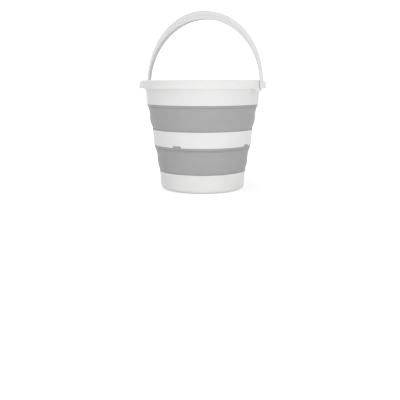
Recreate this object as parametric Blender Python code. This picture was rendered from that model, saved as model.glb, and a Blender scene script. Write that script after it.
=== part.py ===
"""Collapsible camp bucket: a base cup and two rings of rigid plastic, two folding bands and a swing handle.

Metres, +Z up. The origin is the centre of the underside of the base, and the axis of the bucket is Z.
The handle pivots on X, the hang tab is at +Y, and the handle folds down towards -Y.
"""

import math

import bmesh
import bpy
from mathutils import Matrix, Vector

# Heights of the five visible bands, from the floor up, with the bucket opened
base_height = 0.0450
lower_band_height = 0.0642
middle_height = 0.0378
upper_band_height = 0.0605
top_height = 0.0575

# Outer radii, each one a step out from the one below
foot_radius = 0.1031
base_draft = 0.0018
base_flare = 0.0031
lower_band_spread = 0.0123
middle_draft = 0.0027
middle_flare = 0.0018
upper_band_spread = 0.0120
top_draft = 0.0034
rim_overhang = 0.0148

# Walls, and the laps that hold each band inside the rings above and below it
wall = 0.0028
band_wall = 0.0020
lap_height = 0.0060
seat_gap = 0.0003

# Base cup
floor_thickness = 0.0030
foot_round = 0.0110
floor_round = 0.0120
base_flare_height = 0.0110
foot_ring_width = 0.0120
underside_recess = 0.0012
underside_pad_radius = 0.0300

# Folding bands: a brow and a shoulder under the upper ring, and a knee and a foot above the lower one
lower_brow_drop = 0.0110
lower_brow_inset = 0.0036
lower_shoulder_drop = 0.0205
lower_shoulder_inset = 0.0069
lower_knee_rise = 0.0150
lower_knee_bulge = 0.0026
upper_brow_drop = 0.0080
upper_brow_inset = 0.0040
upper_shoulder_drop = 0.0180
upper_shoulder_inset = 0.0064
upper_knee_rise = 0.0190
upper_knee_bulge = 0.0039
band_foot = 0.0020
root_inset = 0.0020
butt_inset = 0.0004
knee_round = 0.0200

# Middle ring: four notches in its lower edge, filled by gates of the lower band
middle_flare_height = 0.0060
gate_count = 4
gate_width = 0.0220
gate_height = 0.0045
gate_foot = 0.0055

# Rim: a flange with a hanging skirt, ribbed underneath
skirt_height = 0.0200
skirt_wall = 0.0022
skirt_draft = 0.0008
rim_outer_round = 0.0074
rim_mouth_round = 0.0070
channel_outer_round = 0.0052
channel_inner_round = 0.0020
rib_count = 16
rib_thickness = 0.0016
rib_depth = 0.0100

# Ears at the two pivots: the skirt hangs lower there, with a side rib at each end
ear_drop = 0.0065
ear_front = 0.0185
ear_back = 0.0110
ear_round = 0.0030
ear_rib_inset = 0.0013
boss_radius = 0.0070
boss_depth = 0.0010
stop_width = 0.0040
stop_inset = 0.0010
stop_lift = 0.0015
stop_gap = 0.0005

# Hang tab
tab_thickness = 0.0024
tab_lift = 0.0004
tab_half_width = 0.0265
tab_tip_radius = 0.0090
tab_hole_radius = 0.0054
tab_reach = 0.0140

# Handle: a crescent in the plane of its pivots, wider and deeper at the grip
pivot_drop = 0.0125
bail_gap = 0.0008
leg_depth = 0.0047
grip_depth = 0.0205
bail_front = 0.0070
leg_back = 0.0055
grip_back = 0.0130
leg_step = 0.0003
grip_step = 0.0012
bail_round = 0.0022
edge_round = 0.0008
eye_radius = 0.0080
eye_inset = 0.0002
stud_radius = 0.0040
stud_clearance = 0.0003
stud_end_play = 0.0006
stud_lip_radius = 0.0054
stud_lip_length = 0.0020
pocket_wall = 0.0016
pocket_skin = 0.0030
pocket_rib = 0.0016

# Shares of the handle's depth at any place: its step and pockets from its inner edge, and the most of a round
step_share = 0.44
pocket_share = 0.57
bail_round_share = 1 / 3

# The most that an arc takes of the shorter side beside it, and the share of the wall that a rib's root enters
side_share = 0.45
rib_root_share = 0.75

# Angles along the handle from its top, in degrees: the ribs, and where the pockets end
rib_angles = (-46.5, -23.0, 0.0, 23.0, 46.5)
pocket_end_angle = 60.0

# Fineness
turn_steps = 64
arc_step = math.radians(32)
bail_steps = 48
round_steps = 24
fewest_pocket_steps = 3
sharp_angle = math.radians(30)
overrun = 0.0010
weld_distance = 0.000001

# Colours and roughness of the two plastics
white = (0.80, 0.80, 0.79)
grey = (0.38, 0.38, 0.385)
white_roughness = 0.38
grip_roughness = 0.35
grey_roughness = 0.62

# Levels and radii worked out from the sizes above
base_top = base_height
middle_bottom = base_top + lower_band_height
middle_top = middle_bottom + middle_height
top_bottom = middle_top + upper_band_height
rim_top = top_bottom + top_height
skirt_bottom = rim_top - skirt_height
ear_bottom = skirt_bottom - ear_drop
pivot_height = rim_top - pivot_drop

base_waist_radius = foot_radius + base_draft
base_top_radius = base_waist_radius + base_flare
middle_bottom_radius = base_top_radius + lower_band_spread
middle_waist_radius = middle_bottom_radius + middle_draft
middle_top_radius = middle_waist_radius + middle_flare
top_bottom_radius = middle_top_radius + upper_band_spread
top_wall_radius = top_bottom_radius + top_draft
rim_radius = top_wall_radius + rim_overhang
bail_inner = rim_radius + bail_gap
bail_half_span = bail_inner + leg_depth
bail_reach = bail_inner + grip_depth


def clear_scene():
    for item in list(bpy.data.objects):
        bpy.data.objects.remove(item, do_unlink=True)


def plastic(name, colour, roughness):
    made = bpy.data.materials.new(name)
    made.use_nodes = True
    shader = made.node_tree.nodes["Principled BSDF"]
    shader.inputs["Base Color"].default_value = (*colour, 1.0)
    shader.inputs["Roughness"].default_value = roughness
    shader.inputs["Metallic"].default_value = 0.0
    return made


def finished(name, shape, material=None):
    """Makes an object of a bmesh, with its faces turned outwards and its round sides shaded smooth."""
    bmesh.ops.recalc_face_normals(shape, faces=shape.faces)
    mesh = bpy.data.meshes.new(name)
    shape.to_mesh(mesh)
    shape.free()
    mesh.shade_smooth()
    mesh.set_sharp_from_angle(angle=sharp_angle)
    made = bpy.data.objects.new(name, mesh)
    bpy.context.scene.collection.objects.link(made)
    if material:
        mesh.materials.append(material)
    else:
        made.hide_render = True
        made.display_type = "WIRE"
    return made


def rounded(corners):
    """The points of a closed outline of (x, y, radius) corners, with an arc at each that has a radius."""
    points = []
    for index, (x, y, radius) in enumerate(corners):
        corner = Vector((x, y))
        if not radius:
            points.append(corner)
            continue
        before = Vector(corners[index - 1][:2]) - corner
        after = Vector(corners[(index + 1) % len(corners)][:2]) - corner
        opening = before.angle(after)
        radius = min(radius, side_share * min(before.length, after.length) * math.tan(opening / 2))
        inward = (before.normalized() + after.normalized()).normalized()
        centre = corner + inward * radius / math.sin(opening / 2)
        arm = corner + before.normalized() * radius / math.tan(opening / 2) - centre
        turn = math.pi - opening
        side = math.copysign(1, before.x * after.y - before.y * after.x)
        steps = max(1, math.ceil(turn / arc_step))
        for step in range(steps + 1):
            points.append(centre + Matrix.Rotation(-side * turn * step / steps, 2) @ arm)
    return points


def add_turned(shape, outline, centre=0.0, sweep=math.tau):
    """Adds an outline of (radius, height) points turned about Z: all round, or a sector about an angle."""
    whole = sweep == math.tau
    start = Matrix.Rotation(centre - sweep / 2, 3, "Z")
    points = [shape.verts.new(start @ Vector((radius, 0.0, height))) for radius, height in outline]
    if whole:
        pairs = zip(points, points[1:] + points[:1])
        line = [shape.edges.new(pair) for pair in pairs if pair[0].co.xy.length or pair[1].co.xy.length]
        swept = points + line
    else:
        swept = [shape.faces.new(points)]
    bmesh.ops.spin(
        shape,
        geom=swept,
        cent=(0.0, 0.0, 0.0),
        axis=(0.0, 0.0, 1.0),
        angle=sweep,
        steps=max(1, round(turn_steps * sweep / math.tau)),
        use_merge=whole,
    )


def turned(name, outline, material=None, centre=0.0):
    shape = bmesh.new()
    add_turned(shape, outline, centre)
    bmesh.ops.remove_doubles(shape, verts=shape.verts, dist=weld_distance)
    return finished(name, shape, material)


def sectors(name, outline, angles, sweep):
    shape = bmesh.new()
    for angle in angles:
        add_turned(shape, outline, angle, sweep)
    return finished(name, shape)


def lofted(name, sections, material=None):
    """Joins sections of as many points each, and closes both ends."""
    shape = bmesh.new()
    rows = [[shape.verts.new(point) for point in section] for section in sections]
    for row, following in zip(rows, rows[1:]):
        for index in range(len(row)):
            after = (index + 1) % len(row)
            shape.faces.new((row[index], row[after], following[after], following[index]))
    shape.faces.new(rows[0])
    shape.faces.new(rows[-1])
    return finished(name, shape, material)


def prism_x(name, outline, start, end):
    """A prism along X of an outline of (y, z) points."""
    return lofted(name, [[(x, y, z) for y, z in outline] for x in (start, end)])


def rod_x(name, centre_height, steps):
    """A turned rod along X: steps are (x, radius) pairs, and its axis passes at centre_height."""
    turns = [math.tau * (step + 0.5) / round_steps for step in range(round_steps)]
    sections = []
    for x, radius in steps:
        sections.append([(x, radius * math.cos(t), centre_height + radius * math.sin(t)) for t in turns])
    return lofted(name, sections)


def combine(target, other, operation):
    """Joins the other shape to the target, or cuts it out of the target."""
    modifier = target.modifiers.new(other.name, "BOOLEAN")
    modifier.operation = operation
    modifier.solver = "EXACT"
    modifier.object = other
    if target.location.length:
        other.parent = target
    return modifier


def make_base_cup(material):
    recess_edge = foot_radius - foot_round - foot_ring_width
    outline = [
        (0.0, 0.0, 0),
        (underside_pad_radius, 0.0, 0),
        (underside_pad_radius + underside_recess, underside_recess, 0),
        (recess_edge - underside_recess, underside_recess, 0),
        (recess_edge, 0.0, 0),
        (foot_radius, 0.0, foot_round),
        (base_waist_radius, base_top - base_flare_height, 0),
        (base_top_radius, base_top, 0),
        (base_top_radius - wall, base_top, 0),
        (base_waist_radius - wall, base_top - base_flare_height, 0),
        (foot_radius - wall, floor_thickness, floor_round),
        (0.0, floor_thickness, 0),
    ]
    return turned("base_cup", rounded(outline), material)


def make_middle_ring(material):
    outline = [
        (middle_waist_radius, middle_top - middle_flare_height, 0),
        (middle_top_radius, middle_top, 0),
        (middle_top_radius - wall, middle_top, 0),
        (middle_waist_radius - wall, middle_top - middle_flare_height, 0),
        (middle_bottom_radius - wall, middle_bottom, 0),
        (middle_bottom_radius, middle_bottom, 0),
    ]
    ring = turned("middle_ring", rounded(outline), material)
    notch = [
        (middle_bottom_radius - wall - overrun, middle_bottom - overrun),
        (middle_bottom_radius + middle_draft + overrun, middle_bottom - overrun),
        (middle_bottom_radius + middle_draft + overrun, middle_bottom + gate_height),
        (middle_bottom_radius - wall - overrun, middle_bottom + gate_height),
    ]
    notches = sectors("middle_ring_notches", notch, gate_angles(), gate_width / middle_bottom_radius)
    combine(ring, notches, "DIFFERENCE")
    return ring


def gate_angles():
    return [math.tau * index / gate_count for index in range(gate_count)]


def make_band(name, material, bottom, root, lean, knee, top, ring_radius, shoulder, brow):
    """A folding band, from its lap inside the ring below to its lap inside the ring above."""
    lower_seat = root - wall - seat_gap
    upper_seat = ring_radius - wall - seat_gap
    root_radius = root - root_inset
    knee_level = bottom + knee[0]
    knee_radius = root + knee[1]
    shoulder_level = top - shoulder[0]
    shoulder_radius = ring_radius - shoulder[1]
    brow_level = top - brow[0]
    brow_radius = ring_radius - brow[1]
    outline = [
        (upper_seat, top + lap_height, 0),
        (upper_seat, top - seat_gap, 0),
        (ring_radius - butt_inset, top - seat_gap, 0),
        (brow_radius, brow_level, 0),
        (shoulder_radius, shoulder_level, 0),
        (knee_radius, knee_level, knee_round),
        (root_radius, bottom + band_foot, 0),
        (root_radius, bottom + seat_gap, 0),
        (lower_seat, bottom + seat_gap, 0),
        (lower_seat - lean, bottom - lap_height, 0),
        (lower_seat - lean - band_wall, bottom - lap_height, 0),
        (lower_seat - band_wall, bottom + band_foot, 0),
        (knee_radius - band_wall, knee_level, knee_round),
        (shoulder_radius - band_wall, shoulder_level, 0),
        (brow_radius - band_wall, brow_level, 0),
        (upper_seat - band_wall, top - seat_gap, 0),
        (upper_seat - band_wall, top + lap_height, 0),
    ]
    return turned(name, rounded(outline), material)


def make_lower_band(material):
    band = make_band(
        "lower_band",
        material,
        base_top,
        base_top_radius,
        base_flare * lap_height / base_flare_height,
        (lower_knee_rise, lower_knee_bulge),
        middle_bottom,
        middle_bottom_radius,
        (lower_shoulder_drop, lower_shoulder_inset),
        (lower_brow_drop, lower_brow_inset),
    )
    inside = middle_bottom_radius - wall - seat_gap - band_wall / 2
    gate = [
        (inside, middle_bottom - gate_foot),
        (middle_bottom_radius, middle_bottom - gate_foot),
        (middle_bottom_radius, middle_bottom + gate_height - seat_gap),
        (inside, middle_bottom + gate_height - seat_gap),
    ]
    sweep = (gate_width - 2 * seat_gap) / middle_bottom_radius
    combine(band, sectors("lower_band_gates", gate, gate_angles(), sweep), "UNION")
    return band


def make_upper_band(material):
    return make_band(
        "upper_band",
        material,
        middle_top,
        middle_top_radius,
        middle_flare * lap_height / middle_flare_height,
        (upper_knee_rise, upper_knee_bulge),
        top_bottom,
        top_bottom_radius,
        (upper_shoulder_drop, upper_shoulder_inset),
        (upper_brow_drop, upper_brow_inset),
    )


def make_top_ring(material):
    under = rim_top - wall
    outline = [
        (top_bottom_radius - wall, top_bottom, 0),
        (top_wall_radius - wall, rim_top, rim_mouth_round),
        (rim_radius - skirt_draft, rim_top, rim_outer_round),
        (rim_radius, ear_bottom - overrun, 0),
        (rim_radius - skirt_wall, ear_bottom - overrun, 0),
        (rim_radius - skirt_wall - skirt_draft, under, channel_outer_round),
        (top_wall_radius, under, channel_inner_round),
        (top_bottom_radius, top_bottom, 0),
    ]
    ring = turned("top_ring", rounded(outline), material)
    trim_skirt(ring)
    add_ribs(ring)
    for side, label in ((1, "right"), (-1, "left")):
        add_pivot(ring, side, label)
    add_tab(ring)
    return ring


def trim_skirt(ring):
    """Cuts the skirt to its height all round except at the ears, with facets half a step from its own."""
    inner = rim_radius - rim_overhang / 2
    band = [
        (inner, ear_bottom - 2 * overrun),
        (rim_radius + overrun, ear_bottom - 2 * overrun),
        (rim_radius + overrun, skirt_bottom),
        (inner, skirt_bottom),
    ]
    trim = turned("skirt_trim", band, centre=math.pi / turn_steps)
    ear = [
        (-ear_front, ear_bottom, ear_round),
        (ear_back, ear_bottom, ear_round),
        (ear_back, skirt_bottom + overrun, 0),
        (-ear_front, skirt_bottom + overrun, 0),
    ]
    reach = rim_radius + 2 * overrun
    for side, label in ((1, "right"), (-1, "left")):
        start = side * (inner - 2 * rim_overhang)
        combine(trim, prism_x("ear_outline_" + label, rounded(ear), start, side * reach), "DIFFERENCE")
    combine(ring, trim, "DIFFERENCE")


def skirt_middle():
    """The radius of the middle of the skirt's wall."""
    return rim_radius - skirt_wall / 2 - skirt_draft / 2


def rib_outline(bottom):
    """A rib from inside the wall to inside the skirt, with its upper corners held inside the rim's rounds."""
    inner = top_wall_radius - wall * rib_root_share
    outer = skirt_middle()
    top = rim_top - wall / 2
    outline = [
        (inner, bottom, 0),
        (outer, bottom, 0),
        (outer, top, rim_outer_round - wall / 2),
        (inner, top, rim_mouth_round - wall / 2),
    ]
    return rounded(outline)


def add_ribs(ring):
    """Ribs under the flange, and the two side ribs of each ear."""
    reach = rim_radius - skirt_wall
    pitch = math.tau / rib_count
    clear = math.asin(ear_front / reach) + pitch / 2
    angles = [pitch * (index + 0.5) for index in range(rib_count)]
    plain = [angle for angle in angles if abs(math.sin(angle)) > math.sin(clear)]
    under_flange = rib_outline(rim_top - wall - rib_depth)
    flange_ribs = sectors("flange_ribs", under_flange, plain, rib_thickness / reach)
    combine(ring, flange_ribs, "UNION")
    front = -math.asin((ear_front - ear_rib_inset) / reach)
    back = math.asin((ear_back - ear_rib_inset) / reach)
    ends = [front, back, math.pi - front, math.pi - back]
    ear_ribs = sectors("ear_ribs", rib_outline(ear_bottom + ear_rib_inset), ends, rib_thickness / reach)
    combine(ring, ear_ribs, "UNION")


def add_pivot(ring, side, label):
    """The boss and hole for the handle's stud, and the stop that the folded handle rests on."""
    inside = rim_radius - skirt_wall - skirt_draft
    boss = [(side * (inside - boss_depth), boss_radius), (side * skirt_middle(), boss_radius)]
    combine(ring, rod_x("boss_" + label, pivot_height, boss), "UNION")
    hole = stud_radius + stud_clearance
    bore = [(side * (inside - boss_depth - overrun), hole), (side * (rim_radius + overrun), hole)]
    combine(ring, rod_x("stud_hole_" + label, pivot_height, bore), "DIFFERENCE")
    stop_top = pivot_height - bail_front - stop_gap
    near = -ear_front + stop_inset
    stop = [
        (near, ear_bottom + stop_lift),
        (near + stop_width, ear_bottom + stop_lift),
        (near + stop_width, stop_top),
        (near, stop_top),
    ]
    start = side * (math.sqrt(rim_radius**2 - ear_front**2) - skirt_wall / 2)
    combine(ring, prism_x("handle_stop_" + label, stop, start, side * bail_half_span), "UNION")


def add_tab(ring):
    """The flat hang tab: straight sides from the skirt to a round tip with a hole."""
    root_radius = rim_radius - skirt_wall / 2
    half_angle = math.asin(tab_half_width / rim_radius)
    foot = Vector((tab_half_width, rim_radius * math.cos(half_angle)))
    tip = Vector((0.0, rim_radius + tab_reach))
    to_foot = foot - tip
    lean = math.atan2(to_foot.y, to_foot.x) + math.acos(tab_tip_radius / to_foot.length)
    sweep = math.pi - 2 * lean
    steps = round_steps // 2
    outline = []
    for n in range(steps + 1):
        angle = lean + sweep * n / steps
        outline.append(tip + tab_tip_radius * Vector((math.cos(angle), math.sin(angle))))
    outline.append(Vector((-foot.x, foot.y)))
    for n in range(steps + 1):
        angle = math.pi / 2 + half_angle * (1 - 2 * n / steps)
        outline.append(root_radius * Vector((math.cos(angle), math.sin(angle))))
    outline.append(foot)
    bottom = skirt_bottom + tab_lift
    levels = (bottom, bottom + tab_thickness)
    plate = lofted("tab_plate", [[(p.x, p.y, z) for p in outline] for z in levels])
    combine(ring, plate, "UNION")
    turns = [math.tau * step / round_steps for step in range(round_steps)]
    circle = [tip + tab_hole_radius * Vector((math.cos(t), math.sin(t))) for t in turns]
    cut_levels = (bottom - overrun, bottom + tab_thickness + overrun)
    combine(ring, lofted("tab_hole", [[(p.x, p.y, z) for p in circle] for z in cut_levels]), "DIFFERENCE")


def smooth(share):
    share = min(max(share, 0), 1)
    return share * share * (3 - 2 * share)


def bail_outer(angle):
    """The outer edge's distance from the pivots' centre: an ellipse through the legs and the grip."""
    across = bail_reach * math.cos(angle)
    along = bail_half_span * math.sin(angle)
    return bail_half_span * bail_reach / math.hypot(across, along)


def bail_point(angle, radius, y):
    return (radius * math.cos(angle), y, radius * math.sin(angle))


def bail_section(angle):
    """The handle's section at an angle measured from +X at the pivots: from the inner edge, front first."""
    widening = smooth(math.sin(angle))
    outer = bail_outer(angle)
    depth = outer - bail_inner
    front = -bail_front
    ridge = leg_step + (grip_step - leg_step) * widening
    inner_front = front + ridge
    back = leg_back + (grip_back - leg_back) * widening
    curve = min(bail_round, depth * bail_round_share)
    middle = curve * (1 - math.sqrt(1 / 2))
    step = bail_inner + step_share * depth
    outline = [
        (bail_inner, inner_front + curve),
        (bail_inner + middle, inner_front + middle),
        (bail_inner + curve, inner_front),
        (step, inner_front),
        (step + ridge, front),
        (outer - edge_round, front),
        (outer, front + edge_round),
        (outer, back - edge_round),
        (outer - edge_round, back),
        (bail_inner + curve, back),
        (bail_inner + middle, back - middle),
        (bail_inner, back - curve),
    ]
    return [bail_point(angle, radius, y) for radius, y in outline]


def pocket_section(angle):
    outer = bail_outer(angle)
    inner = bail_inner + pocket_share * (outer - bail_inner)
    floor = -bail_front + pocket_skin
    outline = [
        (inner, floor),
        (outer - pocket_wall, floor),
        (outer - pocket_wall, grip_back + overrun),
        (inner, grip_back + overrun),
    ]
    return [bail_point(angle, radius, y) for radius, y in outline]


def make_handle(material):
    """The handle lies in its own frame, with its pivots' centre at the origin and its grip straight up."""
    sections = [bail_section(math.pi * step / bail_steps) for step in range(bail_steps + 1)]
    handle = lofted("handle", sections, material)
    handle.location = (0.0, 0.0, pivot_height)
    for side, label in ((1, "right"), (-1, "left")):
        add_leg_end(handle, side, label)
    add_pockets(handle)
    return handle


def add_leg_end(handle, side, label):
    """A round eye on the leg, with a lipped stud that snaps through the ear."""
    eye = [(side * (bail_inner + eye_inset), eye_radius), (side * (bail_half_span - eye_inset), eye_radius)]
    combine(handle, rod_x("eye_" + label, 0.0, eye), "UNION")
    root = bail_inner + leg_depth / 2
    neck = rim_radius - skirt_wall - skirt_draft - boss_depth - stud_end_play
    stud = [
        (side * root, stud_radius),
        (side * neck, stud_radius),
        (side * neck, stud_lip_radius),
        (side * (neck - stud_lip_length / 2), stud_lip_radius),
        (side * (neck - stud_lip_length), stud_radius),
    ]
    combine(handle, rod_x("stud_" + label, 0.0, stud), "UNION")


def add_pockets(handle):
    """Pockets in the back of the handle, between its ribs."""
    ends = [-pocket_end_angle, *rib_angles, pocket_end_angle]
    half_rib = math.degrees(pocket_rib / 2 / bail_reach)
    for number, (start, end) in enumerate(zip(ends, ends[1:]), 1):
        first = math.radians(90 + start + half_rib)
        last = math.radians(90 + end - half_rib)
        steps = max(fewest_pocket_steps, round(bail_steps * (last - first) / math.pi))
        sections = [pocket_section(first + (last - first) * step / steps) for step in range(steps + 1)]
        combine(handle, lofted(f"pocket_{number}", sections), "DIFFERENCE")


def make_bucket():
    clear_scene()
    make_base_cup(plastic("base_cup_white", white, white_roughness))
    make_lower_band(plastic("lower_band_grey", grey, grey_roughness))
    make_middle_ring(plastic("middle_ring_white", white, white_roughness))
    make_upper_band(plastic("upper_band_grey", grey, grey_roughness))
    make_top_ring(plastic("top_ring_white", white, white_roughness))
    make_handle(plastic("handle_white", white, grip_roughness))


make_bucket()
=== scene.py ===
import math

import bmesh
import bpy
from mathutils import Matrix, Vector


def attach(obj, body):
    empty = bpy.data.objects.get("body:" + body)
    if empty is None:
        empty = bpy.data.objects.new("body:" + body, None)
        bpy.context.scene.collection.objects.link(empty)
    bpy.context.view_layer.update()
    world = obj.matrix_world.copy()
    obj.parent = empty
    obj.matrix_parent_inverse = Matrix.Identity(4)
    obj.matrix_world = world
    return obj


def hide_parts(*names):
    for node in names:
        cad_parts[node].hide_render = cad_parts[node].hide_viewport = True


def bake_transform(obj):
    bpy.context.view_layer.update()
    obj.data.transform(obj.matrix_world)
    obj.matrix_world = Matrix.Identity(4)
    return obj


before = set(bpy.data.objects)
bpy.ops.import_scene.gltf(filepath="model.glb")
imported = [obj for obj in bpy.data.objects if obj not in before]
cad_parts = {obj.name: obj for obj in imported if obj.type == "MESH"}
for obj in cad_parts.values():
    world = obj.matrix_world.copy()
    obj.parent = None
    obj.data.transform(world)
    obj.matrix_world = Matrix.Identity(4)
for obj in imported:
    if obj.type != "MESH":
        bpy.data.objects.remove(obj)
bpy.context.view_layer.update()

# Heights of the five visible bands, from the floor up, with the bucket opened
base_height = 0.0450
lower_band_height = 0.0642
middle_height = 0.0378
upper_band_height = 0.0605
top_height = 0.0575

# Outer radii, each one a step out from the one below
foot_radius = 0.1031
base_draft = 0.0018
base_flare = 0.0031
lower_band_spread = 0.0123
middle_draft = 0.0027
middle_flare = 0.0018
upper_band_spread = 0.0120
top_draft = 0.0034
rim_overhang = 0.0148

# Walls, and the laps that hold each band inside the rings above and below it
wall = 0.0028
band_wall = 0.0020
lap_height = 0.0060
seat_gap = 0.0003
lip_round = 0.0006

# Base cup
floor_thickness = 0.0030
foot_round = 0.0110
floor_round = 0.0120
base_flare_height = 0.0110
base_flare_round = 0.0200
foot_ring_width = 0.0120
underside_recess = 0.0012
underside_pad_radius = 0.0300

# Folding bands: a brow and a shoulder under the upper ring, and a knee and a foot above the lower one
lower_brow_drop = 0.0110
lower_brow_inset = 0.0036
lower_shoulder_drop = 0.0205
lower_shoulder_inset = 0.0069
lower_knee_rise = 0.0150
lower_knee_bulge = 0.0026
upper_brow_drop = 0.0080
upper_brow_inset = 0.0040
upper_shoulder_drop = 0.0180
upper_shoulder_inset = 0.0064
upper_knee_rise = 0.0190
upper_knee_bulge = 0.0039
band_foot = 0.0020
root_inset = 0.0020
butt_inset = 0.0004
turn_drop = 0.0012
turn_round = 0.0010
brow_round = 0.0120
shoulder_round = 0.0120
knee_round = 0.0300
lower_crease_depth = 0.0005
upper_crease_depth = 0.0020
crease_bead = 0.0008
crease_drop = 0.0056
crease_half_width = 0.0014
crease_round = 0.0006
row_height = 0.0011

# Middle ring: four notches in its lower edge, filled by gates of the lower band
middle_flare_height = 0.0060
gate_count = 4
gate_width = 0.0220
gate_height = 0.0045
gate_foot = 0.0049
gate_corner = 0.0010
gate_recess = 0.0016
gate_lip = 0.0009

# Rim: a flange with a hanging skirt, ribbed underneath
skirt_height = 0.0200
skirt_wall = 0.0022
skirt_draft = 0.0008
rim_outer_round = 0.0074
rim_mouth_round = 0.0070
channel_outer_round = 0.0052
channel_inner_round = 0.0020
rib_count = 16
rib_thickness = 0.0016
rib_depth = 0.0100

# Ears at the two pivots: the skirt hangs lower there, with a side rib at each end
ear_drop = 0.0065
ear_front = 0.0185
ear_back = 0.0110
ear_round = 0.0030
ear_root_round = 0.0012
ear_rib_inset = 0.0013
boss_radius = 0.0070
boss_depth = 0.0010
stop_width = 0.0040
stop_inset = 0.0010
stop_lift = 0.0015
stop_gap = 0.0005
stop_round = 0.0008

# Hang tab
tab_thickness = 0.0024
tab_lift = 0.0004
tab_half_width = 0.0265
tab_tip_radius = 0.0090
tab_hole_radius = 0.0054
tab_reach = 0.0140
tab_edge_round = 0.0006

# Handle: a crescent in the plane of its pivots, wider and deeper at the grip
pivot_drop = 0.0125
bail_gap = 0.0008
leg_depth = 0.0047
grip_depth = 0.0205
bail_front = 0.0070
leg_back = 0.0055
grip_back = 0.0130
leg_step = 0.0003
grip_step = 0.0012
bail_round = 0.0022
edge_round = 0.0008
eye_radius = 0.0080
eye_inset = 0.0002
stud_radius = 0.0040
stud_clearance = 0.0003
stud_end_play = 0.0006
stud_lip_radius = 0.0054
stud_lip_length = 0.0020
pocket_wall = 0.0016
pocket_skin = 0.0030
pocket_rib = 0.0016
moulded_edge = 0.0003

# Shares of the handle's depth at any place, from its inner edge
step_share = 0.44
pocket_share = 0.57

# The most that a round takes of the handle's depth, and that any arc takes of the shorter side beside it
bail_round_share = 1 / 3
side_share = 0.45

# The share of the wall that a rib's root enters, and of an eye's edge that is left half way round it
rib_root_share = 0.75
eye_edge_share = 0.25

# Shares of a corner's radius at which a stepped edge has its columns, outside the step and inside it
root_shares = (1.0, 0.8, 0.55, 0.3, 0.1)
corner_shares = (0.03, 0.12, 0.3, 0.55, 0.8, 1.0)

# Angles along the handle from its top, in degrees: the ribs, and where the pockets end
rib_angles = (-46.5, -23.0, 0.0, 23.0, 46.5)
pocket_end_angle = 60.0

# Fineness
turn_steps = 192
arc_step = math.radians(12)
fewest_arc_steps = 2
bail_steps = 144
bail_arc_steps = 5
fewest_pocket_steps = 3
gate_steps = 12
round_steps = 64
bevel_steps = 3

# How far a cutter runs past what it cuts, and half the width of the slope that stands for an upright step
overrun = 0.0010
sliver = 0.00002

# Edges that turn by more than these angles are sharp in the shading, or rounded on the gates and the tab
sharp_angle = math.radians(35)
gate_edge_angle = math.radians(30)
tab_edge_angle = math.radians(50)

# Levels and radii worked out from the sizes above
base_top = base_height
middle_bottom = base_top + lower_band_height
middle_top = middle_bottom + middle_height
top_bottom = middle_top + upper_band_height
rim_top = top_bottom + top_height
skirt_bottom = rim_top - skirt_height
ear_bottom = skirt_bottom - ear_drop
pivot_height = rim_top - pivot_drop

base_waist_radius = foot_radius + base_draft
base_top_radius = base_waist_radius + base_flare
middle_bottom_radius = base_top_radius + lower_band_spread
middle_waist_radius = middle_bottom_radius + middle_draft
middle_top_radius = middle_waist_radius + middle_flare
top_bottom_radius = middle_top_radius + upper_band_spread
top_wall_radius = top_bottom_radius + top_draft
rim_radius = top_wall_radius + rim_overhang
bail_inner = rim_radius + bail_gap
bail_half_span = bail_inner + leg_depth
bail_reach = bail_inner + grip_depth

# Camera: the bucket is seen level with its rim, from in front of and beside the handle's pivots
picture_width = 400
sensor_width = 36.0
camera_azimuth = math.radians(30)
camera_distance = 1.45
focal_pixels = 584.5
optical_centre_pixels = (202.5, 180.0)
horizon_pixels = 80.0

# Softboxes: places towards the camera, to its right and up, then widths and heights, and powers in watts
softboxes = {
    "key": ((1.8, 0.8, 0.20), (1.4, 0.36), 13.0),
    "fill": ((1.3, -1.5, 0.25), (1.2, 0.46), 5.7),
    "back": ((-1.8, -0.6, 0.45), (1.6, 0.8), 9.0),
    "overhead": ((0.0, 0.0, 1.9), (1.6, 1.6), 10.0),
}

# World: the light on the bucket, and what the camera and gloss see of it
plain_white = (1.0, 1.0, 1.0, 1.0)
world_strength = 0.5
seen_strength = 1.0

# Stage: a floor inside a round backdrop. The floor's glow rises between two distances from the bucket's axis
stage_radius = 4.0
shadow_reach = (0.35, 0.80)
near_glow = 0.36
far_glow = 0.80
stage_paint = (0.95, 0.95, 0.95, 1.0)
stage_roughness = 0.9

# Both plastics: clouds in colour and gloss, speckles in colour, and a moulded grain
cloud_scale = 22
cloud_detail = 5
cloud_roughness = 0.6
cloud_range = (0.3, 0.7)
cloud_share = 0.65
speckle_share = 0.35
speckle_detail = 3
speckle_size = 4
grain_detail = 2
grain_depth = 0.0001
plastic_ior = 1.49
specular_level = 0.25
sheen_roughness = 0.5

# White plastic and grey rubber: darkest and lightest colour, least and most roughness, grain and sheen
white_colours = ((0.765, 0.768, 0.765, 1.0), (0.815, 0.815, 0.806, 1.0))
white_roughness = (0.50, 0.62)
white_grain = (1400, 0.05)
white_sheen = 0.0
grey_colours = ((0.362, 0.362, 0.366, 1.0), (0.402, 0.402, 0.406, 1.0))
grey_roughness = (0.58, 0.72)
grey_grain = (900, 0.08)
grey_sheen = 0.12


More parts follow.
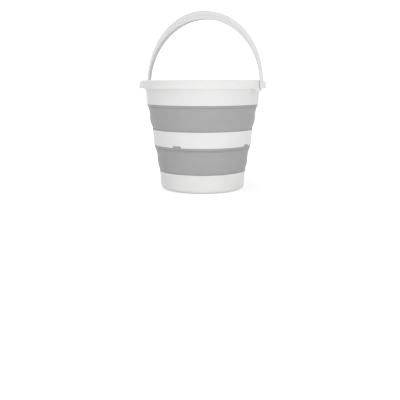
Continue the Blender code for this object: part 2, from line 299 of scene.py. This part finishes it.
def rounded(corners, steps=None):
    """The points of a closed outline of (x, y, radius) corners, with an arc at each that has a radius."""
    points = []
    for index, (x, y, radius) in enumerate(corners):
        corner = Vector((x, y))
        if not radius:
            points.append(corner)
            continue
        before = Vector(corners[index - 1][:2]) - corner
        after = Vector(corners[(index + 1) % len(corners)][:2]) - corner
        opening = before.angle(after)
        radius = min(radius, side_share * min(before.length, after.length) * math.tan(opening / 2))
        inward = (before.normalized() + after.normalized()).normalized()
        centre = corner + inward * radius / math.sin(opening / 2)
        arm = corner + before.normalized() * radius / math.tan(opening / 2) - centre
        turn = math.pi - opening
        side = math.copysign(1, before.x * after.y - before.y * after.x)
        count = steps or max(fewest_arc_steps, math.ceil(turn / arc_step))
        for step in range(count + 1):
            points.append(centre + Matrix.Rotation(-side * turn * step / count, 2) @ arm)
    return points


def even_angles(extra=()):
    """The angles of a turned piece's columns: evenly spaced, with extra ones where its edge changes."""
    angles = [math.tau * step / turn_steps for step in range(turn_steps)]
    return sorted(set(angles) | {angle % math.tau for angle in extra})


def turned(outline, angles, adjust=None):
    """A bmesh of an outline of (radius, height) points turned about Z, adjusted at each angle if asked."""
    shape = bmesh.new()
    poles = {}
    columns = []
    for angle in angles:
        column = []
        for index, (radius, height) in enumerate(outline):
            if not radius:
                if index not in poles:
                    poles[index] = shape.verts.new((0, 0, height))
                column.append(poles[index])
                continue
            if adjust:
                radius, height = adjust(radius, height, angle)
            column.append(shape.verts.new((radius * math.cos(angle), radius * math.sin(angle), height)))
        columns.append(column)
    for column, following in zip(columns, columns[1:] + columns[:1]):
        for index in range(len(outline)):
            after = (index + 1) % len(outline)
            corners = [column[index], following[index], following[after], column[after]]
            corners = list(dict.fromkeys(corners))
            if len(corners) > 2:
                shape.faces.new(corners)
    return shape


def shade(mesh):
    """Shades a mesh smooth, with its sharp edges kept."""
    mesh.shade_smooth()
    mesh.set_sharp_from_angle(angle=sharp_angle)


def finished(name, shape, material=None):
    """Makes an object of a bmesh, with its faces turned outwards and its round sides shaded smooth."""
    bmesh.ops.recalc_face_normals(shape, faces=shape.faces)
    mesh = bpy.data.meshes.new(name)
    shape.to_mesh(mesh)
    shape.free()
    shade(mesh)
    made = bpy.data.objects.new(name, mesh)
    bpy.context.scene.collection.objects.link(made)
    if material:
        mesh.materials.append(material)
    return made


def lofted(name, sections, material=None):
    """Joins sections of as many points each, and closes both ends."""
    shape = bmesh.new()
    rows = [[shape.verts.new(point) for point in section] for section in sections]
    for row, following in zip(rows, rows[1:]):
        for index in range(len(row)):
            after = (index + 1) % len(row)
            shape.faces.new((row[index], row[after], following[after], following[index]))
    shape.faces.new(rows[0])
    shape.faces.new(rows[-1])
    return finished(name, shape, material)


def prism_z(name, outline, levels):
    """A prism along Z of an outline of points, between two levels."""
    return lofted(name, [[(point.x, point.y, z) for point in outline] for z in levels])


def rod_x(name, centre_height, steps, phase=0.0):
    """A turned rod along X: steps are (x, radius) pairs, and its axis passes at centre_height."""
    turns = [math.tau * (step + phase) / round_steps for step in range(round_steps)]
    sections = []
    for x, radius in steps:
        sections.append([(x, radius * math.cos(t), centre_height + radius * math.sin(t)) for t in turns])
    return lofted(name, sections)


def sectors(name, outline, angles, sweep):
    """Blocks of an outline of (radius, height) points, each swept through a small angle."""
    shape = bmesh.new()
    for angle in angles:
        ends = []
        for turn in (angle - sweep / 2, angle + sweep / 2):
            ends.append([shape.verts.new((r * math.cos(turn), r * math.sin(turn), z)) for r, z in outline])
        shape.faces.new(ends[0])
        shape.faces.new(ends[1])
        for index in range(len(outline)):
            after = (index + 1) % len(outline)
            shape.faces.new((ends[0][index], ends[0][after], ends[1][after], ends[1][index]))
    return finished(name, shape)


def combine(target, other, operation):
    """Joins the other shape to the target or cuts it out, and deletes it."""
    modifier = target.modifiers.new(other.name, "BOOLEAN")
    modifier.operation = operation
    modifier.solver = "EXACT"
    modifier.object = other
    bake(target)
    bpy.data.objects.remove(other, do_unlink=True)


def bake(target):
    """Applies the target's modifiers to its mesh."""
    graph = bpy.context.evaluated_depsgraph_get()
    mesh = bpy.data.meshes.new_from_object(target.evaluated_get(graph))
    target.modifiers.clear()
    target.data = mesh


def round_edges(target, width, angle):
    """Rounds the target's edges that turn by more than an angle."""
    soften = target.modifiers.new("edges", "BEVEL")
    soften.width = width
    soften.segments = bevel_steps
    soften.limit_method = "ANGLE"
    soften.angle_limit = angle
    bake(target)


def edge_shift(inside, depth, corner, root):
    """How far a lower edge moves at a distance inside the end of a round-cornered tongue or notch."""
    if inside <= -root:
        return 0.0
    if inside < 0:
        return root - math.sqrt(root**2 - (root + inside) ** 2)
    if inside < corner:
        return depth - corner + math.sqrt(corner**2 - (corner - inside) ** 2)
    return depth


def edge_stations(corner, root):
    """Distances inside the end of a tongue or notch at which its edge needs a column."""
    outside = [-root * share for share in root_shares]
    inside = [corner * share for share in corner_shares]
    return [*outside, -sliver, sliver, *inside]


def plastic_material():
    """Matt white moulded plastic: a fine moulded grain, and faint clouds in its colour and gloss."""
    return moulded("white_plastic", white_colours, white_roughness, white_grain, white_sheen)


def rubber_material():
    """Matt grey rubber: a softer, coarser grain with a slight bloom on its surface."""
    return moulded("grey_rubber", grey_colours, grey_roughness, grey_grain, grey_sheen)


def add_node(tree, kind, values=None, **settings):
    """A new node of a kind, with values on its inputs and settings of its own."""
    made = tree.nodes.new("ShaderNode" + kind)
    for name, value in settings.items():
        setattr(made, name, value)
    set_inputs(made, values or {})
    return made


def set_inputs(node, values):
    for name, value in values.items():
        node.inputs[name].default_value = value


def moulded(name, colours, roughness, grain, sheen):
    """A moulded material from its least and most colour and roughness, and its grain's scale and strength."""
    made = bpy.data.materials.new(name)
    made.use_nodes = True
    tree = made.node_tree
    join = tree.links.new
    shader = tree.nodes["Principled BSDF"]
    grain_scale, grain_strength = grain
    low, high = cloud_range
    place = add_node(tree, "TexCoord")
    cloud_values = {"Scale": cloud_scale, "Detail": cloud_detail, "Roughness": cloud_roughness}
    clouds = add_node(tree, "TexNoise", cloud_values)
    speckle = add_node(tree, "TexNoise", {"Scale": grain_scale / speckle_size, "Detail": speckle_detail})
    grain_noise = add_node(tree, "TexNoise", {"Scale": grain_scale, "Detail": grain_detail})
    for noise in (clouds, speckle, grain_noise):
        join(place.outputs["Object"], noise.inputs["Vector"])

    cloud_part = add_node(tree, "MapRange", {"From Min": low, "From Max": high, "To Max": cloud_share})
    join(clouds.outputs["Fac"], cloud_part.inputs["Value"])
    tone = add_node(tree, "Math", {1: speckle_share}, operation="MULTIPLY_ADD")
    join(speckle.outputs["Fac"], tone.inputs[0])
    join(cloud_part.outputs["Result"], tone.inputs[2])
    tint = add_node(tree, "Mix", {"A": colours[0], "B": colours[1]}, data_type="RGBA")
    join(tone.outputs["Value"], tint.inputs["Factor"])
    join(tint.outputs["Result"], shader.inputs["Base Color"])

    shine_values = {"From Min": low, "From Max": high, "To Min": roughness[0], "To Max": roughness[1]}
    shine = add_node(tree, "MapRange", shine_values)
    join(clouds.outputs["Fac"], shine.inputs["Value"])
    join(shine.outputs["Result"], shader.inputs["Roughness"])

    bump = add_node(tree, "Bump", {"Strength": grain_strength, "Distance": grain_depth})
    join(grain_noise.outputs["Fac"], bump.inputs["Height"])
    join(bump.outputs["Normal"], shader.inputs["Normal"])
    shader.inputs["Metallic"].default_value = 0.0
    shader.inputs["IOR"].default_value = plastic_ior
    shader.inputs["Specular IOR Level"].default_value = specular_level
    shader.inputs["Sheen Weight"].default_value = sheen
    shader.inputs["Sheen Roughness"].default_value = sheen_roughness
    return made


def make_base_cup(material):
    recess_edge = foot_radius - foot_round - foot_ring_width
    outline = [
        (0.0, 0.0, 0),
        (underside_pad_radius, 0.0, lip_round),
        (underside_pad_radius + underside_recess, underside_recess, lip_round),
        (recess_edge - underside_recess, underside_recess, lip_round),
        (recess_edge, 0.0, lip_round),
        (foot_radius, 0.0, foot_round),
        (base_waist_radius, base_top - base_flare_height, base_flare_round),
        (base_top_radius, base_top, lip_round),
        (base_top_radius - wall, base_top, lip_round),
        (base_waist_radius - wall, base_top - base_flare_height, base_flare_round),
        (foot_radius - wall, floor_thickness, floor_round),
        (0.0, floor_thickness, 0),
    ]
    cup = finished("base_cup_shell", turned(rounded(outline), even_angles()), material)
    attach(cup, "base")
    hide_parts("base_cup")


def gate_angles():
    return [math.tau * index / gate_count for index in range(gate_count)]


def gate_distance(angle):
    """How far inside the nearest gate's end an angle lies, along the middle ring's lower edge."""
    nearest = min(abs(math.remainder(angle - gate, math.tau)) for gate in gate_angles())
    return gate_width / 2 - nearest * middle_bottom_radius


def make_middle_ring(material):
    slope = middle_draft / (middle_height - middle_flare_height)
    outline = [
        (middle_waist_radius, middle_top - middle_flare_height, base_flare_round),
        (middle_top_radius, middle_top, lip_round),
        (middle_top_radius - wall, middle_top, lip_round),
        (middle_waist_radius - wall, middle_top - middle_flare_height, base_flare_round),
        (middle_bottom_radius - wall, middle_bottom, lip_round),
        (middle_bottom_radius, middle_bottom, lip_round),
    ]
    edge_top = middle_bottom + 2 * lip_round
    angles = []
    for gate in gate_angles():
        for inside in edge_stations(gate_corner, gate_corner):
            half = (gate_width / 2 - inside) / middle_bottom_radius
            angles += [gate - half, gate + half]

    def notched(radius, height, angle):
        if height > edge_top:
            return radius, height
        rise = edge_shift(gate_distance(angle), gate_height, gate_corner, gate_corner)
        return radius + slope * rise, height + rise

    ring = finished("middle_ring_shell", turned(rounded(outline), even_angles(angles), notched), material)
    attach(ring, "middle")
    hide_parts("middle_ring")


def crease(low, high, level, depth):
    """A small crease with a bead under it, at a level of the line from the low point to the high one."""
    low = Vector(low)
    high = Vector(high)
    centre = low.lerp(high, (level - low.y) / (high.y - low.y))
    along = (high - low).normalized() * crease_half_width
    bead = Vector((crease_bead * depth / upper_crease_depth, 0))
    points = (centre - 2 * along, centre - along + bead, centre - Vector((depth, 0)), centre + along)
    return [(point.x, point.y, crease_round) for point in points]


def band_line(bottom, root, lean, knee, top, ring_radius, shoulder, brow, crease_depth):
    """The middle of a band's wall as (radius, height) points, upwards, close enough to bend smoothly."""
    half = band_wall / 2
    lower_seat = root - wall - seat_gap - half
    upper_seat = ring_radius - wall - seat_gap - half
    foot = root - root_inset - half
    shoulder_point = (ring_radius - shoulder[1] - half, top - shoulder[0])
    brow_point = (ring_radius - brow[1] - half, top - brow[0])
    upper_point = (ring_radius - butt_inset - half, top - turn_drop)
    corners = [
        (lower_seat - lean, bottom - lap_height, 0),
        (lower_seat, bottom, turn_round),
        (foot, bottom + band_foot, turn_round),
        (root + knee[1] - half, bottom + knee[0], knee_round),
        (*shoulder_point, shoulder_round),
        (*brow_point, brow_round),
        *crease(brow_point, upper_point, top - crease_drop, crease_depth),
        (*upper_point, turn_round),
        (upper_seat, top - turn_drop / 2, turn_round),
        (upper_seat, top + lap_height, 0),
    ]
    closing = [(0.0, top + lap_height, 0), (0.0, bottom - lap_height, 0)]
    points = [point for point in rounded([*corners, *closing]) if point.x]
    line = points[:1]
    for low, high in zip(points, points[1:]):
        count = max(1, math.ceil((high.y - low.y) / row_height))
        line += [low.lerp(high, step / count) for step in range(1, count + 1)]
    return line


def make_band(name, material, line):
    """A band as a sheet down the middle of its wall, with its wall's thickness put on by a modifier that is
    left live.
    """
    turns = even_angles()
    shape = bmesh.new()
    rows = []
    for radius, height in line:
        rows.append([shape.verts.new((radius * math.cos(t), radius * math.sin(t), height)) for t in turns])
    for row, following in zip(rows, rows[1:]):
        for index in range(turn_steps):
            after = (index + 1) % turn_steps
            shape.faces.new((row[index], row[after], following[after], following[index]))
    band = finished(name, shape, material)
    skin = band.modifiers.new("wall", "SOLIDIFY")
    skin.thickness = band_wall
    skin.offset = 0
    skin.use_even_offset = False
    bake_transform(band)
    return band


def make_lower_band(material):
    line = band_line(
        base_top,
        base_top_radius,
        base_flare * lap_height / base_flare_height,
        (lower_knee_rise, lower_knee_bulge),
        middle_bottom,
        middle_bottom_radius,
        (lower_shoulder_drop, lower_shoulder_inset),
        (lower_brow_drop, lower_brow_inset),
        lower_crease_depth,
    )
    band = make_band("lower_band_sleeve", material, line)
    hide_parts("lower_band")


def make_upper_band(material):
    line = band_line(
        middle_top,
        middle_top_radius,
        middle_flare * lap_height / middle_flare_height,
        (upper_knee_rise, upper_knee_bulge),
        top_bottom,
        top_bottom_radius,
        (upper_shoulder_drop, upper_shoulder_inset),
        (upper_brow_drop, upper_brow_inset),
        upper_crease_depth,
    )
    band = make_band("upper_band_sleeve", material, line)
    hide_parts("upper_band")


def make_gates(material):
    """The four pads of the lower band: sunk in the middle ring's notches, with a lip below its edge."""
    inside = middle_bottom_radius - wall - seat_gap - band_wall / 2
    ceiling = middle_bottom + gate_height - seat_gap
    outline = rounded([
        (inside, middle_bottom - gate_foot, 0),
        (middle_bottom_radius - gate_lip, middle_bottom - gate_foot, lip_round),
        (middle_bottom_radius, middle_bottom - gate_foot + gate_lip, lip_round),
        (middle_bottom_radius, middle_bottom - gate_lip, lip_round),
        (middle_bottom_radius - gate_recess, middle_bottom, lip_round),
        (middle_bottom_radius - gate_recess, ceiling, lip_round),
        (inside, ceiling, 0),
    ])
    half = (gate_width / 2 - seat_gap) / middle_bottom_radius
    for number, gate in enumerate(gate_angles(), 1):
        sections = []
        for step in range(gate_steps + 1):
            turn = gate - half + 2 * half * step / gate_steps
            sections.append([(r * math.cos(turn), r * math.sin(turn), z) for r, z in outline])
        pad = lofted(f"lower_band_gate_{number}", sections, material)
        round_edges(pad, moulded_edge, gate_edge_angle)
        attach(pad, "middle")
        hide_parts("lower_band")


def ear_distance(angle):
    """How far inside an ear an angle lies, from its nearer end across the pivots, and negative outside."""
    across = rim_radius * math.sin(angle)
    return min(across + ear_front, ear_back - across)


def ear_angles():
    angles = []
    for inside in edge_stations(ear_round, ear_root_round):
        front = math.asin((inside - ear_front) / rim_radius)
        back = math.asin((ear_back - inside) / rim_radius)
        angles += [front, back, math.pi - front, math.pi - back]
    return angles


def make_top_ring(material):
    under = rim_top - wall
    slope = skirt_draft / (rim_top - ear_bottom)
    foot = rim_radius - slope * ear_drop
    outline = [
        (top_bottom_radius - wall, top_bottom, lip_round),
        (top_wall_radius - wall, rim_top, rim_mouth_round),
        (rim_radius - skirt_draft, rim_top, rim_outer_round),
        (foot, skirt_bottom, lip_round),
        (foot - skirt_wall, skirt_bottom, lip_round),
        (rim_radius - skirt_wall - skirt_draft, under, channel_outer_round),
        (top_wall_radius, under, channel_inner_round),
        (top_bottom_radius, top_bottom, lip_round),
    ]
    edge_top = skirt_bottom + 2 * lip_round
    edge_inside = (top_wall_radius + rim_radius) / 2

    def eared(radius, height, angle):
        if height > edge_top or radius < edge_inside:
            return radius, height
        drop = edge_shift(ear_distance(angle), ear_drop, ear_round, ear_root_round)
        return radius + slope * drop, height - drop

    ring = finished("rim_ring", turned(rounded(outline), even_angles(ear_angles()), eared), material)
    add_ribs(ring)
    for side in (1, -1):
        add_pivot(ring, side)
    add_tab(ring)
    shade(ring.data)
    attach(ring, "top")
    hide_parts("top_ring")


def skirt_middle():
    """The radius of the middle of the skirt's wall."""
    return rim_radius - skirt_wall / 2 - skirt_draft / 2


def rib_outline(bottom):
    """A rib from inside the wall to inside the skirt, with its upper corners held inside the rim's rounds."""
    inner = top_wall_radius - wall * rib_root_share
    outer = skirt_middle()
    top = rim_top - wall / 2
    outline = [
        (inner, bottom, 0),
        (outer, bottom, 0),
        (outer, top, rim_outer_round - wall / 2),
        (inner, top, rim_mouth_round - wall / 2),
    ]
    return rounded(outline)


def add_ribs(ring):
    """Ribs under the flange, and the two side ribs of each ear."""
    reach = rim_radius - skirt_wall
    pitch = math.tau / rib_count
    clear = math.asin(ear_front / reach) + pitch / 2
    angles = [pitch * (index + 0.5) for index in range(rib_count)]
    plain = [angle for angle in angles if abs(math.sin(angle)) > math.sin(clear)]
    under_flange = rib_outline(rim_top - wall - rib_depth)
    flange_ribs = sectors("flange_ribs", under_flange, plain, rib_thickness / reach)
    combine(ring, flange_ribs, "UNION")
    front = -math.asin((ear_front - ear_rib_inset) / reach)
    back = math.asin((ear_back - ear_rib_inset) / reach)
    ends = [front, back, math.pi - front, math.pi - back]
    ear_ribs = sectors("ear_ribs", rib_outline(ear_bottom + ear_rib_inset), ends, rib_thickness / reach)
    combine(ring, ear_ribs, "UNION")


def add_pivot(ring, side):
    """The boss and hole for the handle's stud, and the stop that the folded handle rests on."""
    inside = rim_radius - skirt_wall - skirt_draft
    boss = [(side * (inside - boss_depth), boss_radius), (side * skirt_middle(), boss_radius)]
    combine(ring, rod_x("boss", pivot_height, boss), "UNION")
    hole = stud_radius + stud_clearance
    bore = [(side * (inside - boss_depth - overrun), hole), (side * (rim_radius + overrun), hole)]
    combine(ring, rod_x("stud_hole", pivot_height, bore), "DIFFERENCE")
    stop_top = pivot_height - bail_front - stop_gap
    near = -ear_front + stop_inset
    outline = rounded([
        (near, ear_bottom + stop_lift, stop_round),
        (near + stop_width, ear_bottom + stop_lift, stop_round),
        (near + stop_width, stop_top, stop_round),
        (near, stop_top, stop_round),
    ])
    start = side * (math.sqrt(rim_radius**2 - ear_front**2) - skirt_wall / 2)
    end = side * bail_half_span
    middle = sum(outline, Vector((0, 0))) / len(outline)
    tip = end - side * stop_round
    small = [middle + (point - middle) * (1 - stop_round / stop_width) for point in outline]
    sections = []
    for x, face in ((start, outline), (tip, outline), (end, small)):
        sections.append([(x, point.x, point.y) for point in face])
    combine(ring, lofted("handle_stop", sections), "UNION")


def add_tab(ring):
    """The flat hang tab: straight sides from the skirt to a round tip with a hole."""
    root_radius = rim_radius - skirt_wall / 2
    half_angle = math.asin(tab_half_width / rim_radius)
    foot = Vector((tab_half_width, rim_radius * math.cos(half_angle)))
    tip = Vector((0.0, rim_radius + tab_reach))
    to_foot = foot - tip
    lean = math.atan2(to_foot.y, to_foot.x) + math.acos(tab_tip_radius / to_foot.length)
    sweep = math.pi - 2 * lean
    steps = round_steps // 2
    outline = []
    for n in range(steps + 1):
        angle = lean + sweep * n / steps
        outline.append(tip + tab_tip_radius * Vector((math.cos(angle), math.sin(angle))))
    outline.append(Vector((-foot.x, foot.y)))
    for n in range(steps + 1):
        angle = math.pi / 2 + half_angle * (1 - 2 * n / steps)
        outline.append(root_radius * Vector((math.cos(angle), math.sin(angle))))
    outline.append(foot)
    bottom = skirt_bottom + tab_lift
    plate = prism_z("tab_plate", outline, (bottom, bottom + tab_thickness))
    turns = [math.tau * step / round_steps for step in range(round_steps)]
    circle = [tip + tab_hole_radius * Vector((math.cos(t), math.sin(t))) for t in turns]
    cut_levels = (bottom - overrun, bottom + tab_thickness + overrun)
    combine(plate, prism_z("tab_hole", circle, cut_levels), "DIFFERENCE")
    round_edges(plate, tab_edge_round, tab_edge_angle)
    combine(ring, plate, "UNION")


def smooth(share):
    share = min(max(share, 0), 1)
    return share * share * (3 - 2 * share)


def bail_outer(angle):
    """The outer edge's distance from the pivots' centre: an ellipse through the legs and the grip."""
    across = bail_reach * math.cos(angle)
    along = bail_half_span * math.sin(angle)
    return bail_half_span * bail_reach / math.hypot(across, along)


def bail_point(angle, radius, y):
    return (radius * math.cos(angle), y, pivot_height + radius * math.sin(angle))


def bail_section(angle):
    """The handle's section at an angle measured from +X at the pivots: from the inner edge, front first."""
    widening = smooth(math.sin(angle))
    outer = bail_outer(angle)
    depth = outer - bail_inner
    front = -bail_front
    ridge = leg_step + (grip_step - leg_step) * widening
    inner_front = front + ridge
    back = leg_back + (grip_back - leg_back) * widening
    curve = min(bail_round, depth * bail_round_share)
    step = bail_inner + step_share * depth
    outline = [
        (bail_inner, inner_front, curve),
        (step, inner_front, ridge / 2),
        (step + ridge, front, ridge / 2),
        (outer, front, edge_round),
        (outer, back, edge_round),
        (bail_inner, back, curve),
    ]
    return [bail_point(angle, point.x, point.y) for point in rounded(outline, bail_arc_steps)]


def pocket_section(angle):
    outer = bail_outer(angle)
    inner = bail_inner + pocket_share * (outer - bail_inner)
    floor = -bail_front + pocket_skin
    outline = [
        (inner, floor),
        (outer - pocket_wall, floor),
        (outer - pocket_wall, grip_back + overrun),
        (inner, grip_back + overrun),
    ]
    return [bail_point(angle, radius, y) for radius, y in outline]


def make_handle(material):
    sections = [bail_section(math.pi * step / bail_steps) for step in range(bail_steps + 1)]
    handle = lofted("bail_handle", sections, material)
    for side in (1, -1):
        add_leg_end(handle, side)
    add_pockets(handle)
    shade(handle.data)
    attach(handle, "bail")
    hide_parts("handle")


def add_leg_end(handle, side):
    """A round eye on the leg, with a lipped stud that snaps through the ear."""
    near = bail_inner + eye_inset
    far = bail_half_span - eye_inset
    shoulder = eye_radius - edge_round * eye_edge_share
    eye = [
        (side * near, eye_radius - edge_round),
        (side * (near + edge_round / 2), shoulder),
        (side * (near + edge_round), eye_radius),
        (side * (far - edge_round), eye_radius),
        (side * (far - edge_round / 2), shoulder),
        (side * far, eye_radius - edge_round),
    ]
    combine(handle, rod_x("eye", pivot_height, eye, phase=0.5), "UNION")
    root = bail_inner + leg_depth / 2
    neck = rim_radius - skirt_wall - skirt_draft - boss_depth - stud_end_play
    stud = [
        (side * root, stud_radius),
        (side * neck, stud_radius),
        (side * neck, stud_lip_radius),
        (side * (neck - stud_lip_length / 2), stud_lip_radius),
        (side * (neck - stud_lip_length), stud_radius),
    ]
    combine(handle, rod_x("stud", pivot_height, stud), "UNION")


def add_pockets(handle):
    """Pockets in the back of the handle, between its ribs."""
    ends = [-pocket_end_angle, *rib_angles, pocket_end_angle]
    half_rib = math.degrees(pocket_rib / 2 / bail_reach)
    for start, end in zip(ends, ends[1:]):
        first = math.radians(90 + start + half_rib)
        last = math.radians(90 + end - half_rib)
        steps = max(fewest_pocket_steps, round(bail_steps * (last - first) / math.pi))
        sections = [pocket_section(first + (last - first) * step / steps) for step in range(steps + 1)]
        combine(handle, lofted("pocket", sections), "DIFFERENCE")


def camera_axes():
    """The level direction from the bucket towards the camera, and the camera's right."""
    towards = Vector((math.sin(camera_azimuth), -math.cos(camera_azimuth), 0))
    right = Vector((math.cos(camera_azimuth), math.sin(camera_azimuth), 0))
    return towards, right


def make_camera():
    towards, _ = camera_axes()
    pitch = math.atan((optical_centre_pixels[1] - horizon_pixels) / focal_pixels)
    data = bpy.data.cameras.new("camera")
    data.sensor_width = sensor_width
    data.lens = sensor_width * focal_pixels / picture_width
    data.shift_x = (picture_width / 2 - optical_centre_pixels[0]) / picture_width
    data.shift_y = (optical_centre_pixels[1] - picture_width / 2) / picture_width
    camera = bpy.data.objects.new("camera", data)
    bpy.context.scene.collection.objects.link(camera)
    camera.location = towards * camera_distance + Vector((0, 0, rim_top))
    forward = -towards * math.cos(pitch) - Vector((0, 0, math.sin(pitch)))
    camera.rotation_euler = forward.to_track_quat("-Z", "Y").to_euler()
    bpy.context.scene.camera = camera


def make_lights():
    """Softboxes at the front right, at the left, behind and overhead, all aimed at the bucket's middle."""
    towards, right = camera_axes()
    up = Vector((0, 0, 1))
    middle = up * rim_top / 2
    for name, ((near, aside, height), size, power) in softboxes.items():
        data = bpy.data.lights.new(name, "AREA")
        data.shape = "RECTANGLE"
        data.size, data.size_y = size
        data.energy = power
        lamp = bpy.data.objects.new(name, data)
        bpy.context.scene.collection.objects.link(lamp)
        lamp.location = towards * near + right * aside + up * height
        lamp.rotation_euler = (middle - lamp.location).to_track_quat("-Z", "Y").to_euler()


def seen_directly(tree):
    """A value that is 1 for what the camera, gloss and glass see, and 0 for the light on the bucket."""
    path = add_node(tree, "LightPath")
    seen = path.outputs["Is Camera Ray"]
    for ray in ("Is Glossy Ray", "Is Transmission Ray"):
        either = add_node(tree, "Math", operation="MAXIMUM")
        tree.links.new(seen, either.inputs[0])
        tree.links.new(path.outputs[ray], either.inputs[1])
        seen = either.outputs["Value"]
    return seen


def mix_shown(tree, hidden, shown, output):
    """Sends one shader's output to the light on the bucket, and another's to what is seen directly."""
    mix = add_node(tree, "MixShader")
    tree.links.new(seen_directly(tree), mix.inputs["Fac"])
    tree.links.new(hidden, mix.inputs[1])
    tree.links.new(shown, mix.inputs[2])
    tree.links.new(mix.outputs["Shader"], tree.nodes[output].inputs["Surface"])


def make_world():
    world = bpy.data.worlds.new("studio")
    world.use_nodes = True
    tree = world.node_tree
    plain = tree.nodes["Background"]
    set_inputs(plain, {"Color": plain_white, "Strength": world_strength})
    bright = add_node(tree, "Background", {"Color": plain_white, "Strength": seen_strength})
    mix_shown(tree, plain.outputs["Background"], bright.outputs["Background"], "World Output")
    bpy.context.scene.world = world


def stage_material(name):
    """A plain pale paint, and the output of a shader that lifts it to white with a glow."""
    made = bpy.data.materials.new(name)
    made.use_nodes = True
    made.cycles.emission_sampling = "NONE"
    tree = made.node_tree
    paint = tree.nodes["Principled BSDF"]
    set_inputs(paint, {"Base Color": stage_paint, "Roughness": stage_roughness, "Specular IOR Level": 0.0})
    glow = add_node(tree, "Emission", {"Strength": far_glow})
    lifted = add_node(tree, "AddShader")
    tree.links.new(paint.outputs["BSDF"], lifted.inputs[0])
    tree.links.new(glow.outputs["Emission"], lifted.inputs[1])
    return made, lifted.outputs["Shader"]


def floor_material():
    """The floor's paint glows least round the bucket, where it keeps the soft shadow of what stands on it."""
    made, lifted = stage_material("studio_floor")
    tree = made.node_tree
    place = add_node(tree, "TexCoord")
    distance = add_node(tree, "VectorMath", operation="LENGTH")
    tree.links.new(place.outputs["Object"], distance.inputs[0])
    near, far = shadow_reach
    glow_values = {"From Min": near, "From Max": far, "To Min": near_glow, "To Max": far_glow}
    away = add_node(tree, "MapRange", glow_values, interpolation_type="SMOOTHSTEP")
    tree.links.new(distance.outputs["Value"], away.inputs["Value"])
    tree.links.new(away.outputs["Result"], tree.nodes["Emission"].inputs["Strength"])
    mix_shown(tree, tree.nodes["Principled BSDF"].outputs["BSDF"], lifted, "Material Output")
    return made


def backdrop_material():
    """The backdrop's paint lets the world's light through to the bucket."""
    made, lifted = stage_material("studio_backdrop")
    tree = made.node_tree
    clear = add_node(tree, "BsdfTransparent")
    mix_shown(tree, clear.outputs["BSDF"], lifted, "Material Output")
    return made


def make_stage():
    """A round floor, and a dome over it that the camera sees from inside."""
    shape = bmesh.new()
    bmesh.ops.create_circle(shape, cap_ends=True, segments=round_steps, radius=stage_radius)
    floor = finished("floor", shape, floor_material())
    shape = bmesh.new()
    bmesh.ops.create_uvsphere(shape, u_segments=round_steps, v_segments=round_steps // 2, radius=stage_radius)
    backdrop = finished("backdrop", shape, backdrop_material())


def make_bucket():
    white = plastic_material()
    grey = rubber_material()
    make_base_cup(white)
    make_lower_band(grey)
    make_gates(grey)
    make_middle_ring(white)
    make_upper_band(grey)
    make_top_ring(white)
    make_handle(white)


make_bucket()
make_camera()
make_lights()
make_world()
make_stage()
bpy.context.scene.view_settings.view_transform = "Standard"
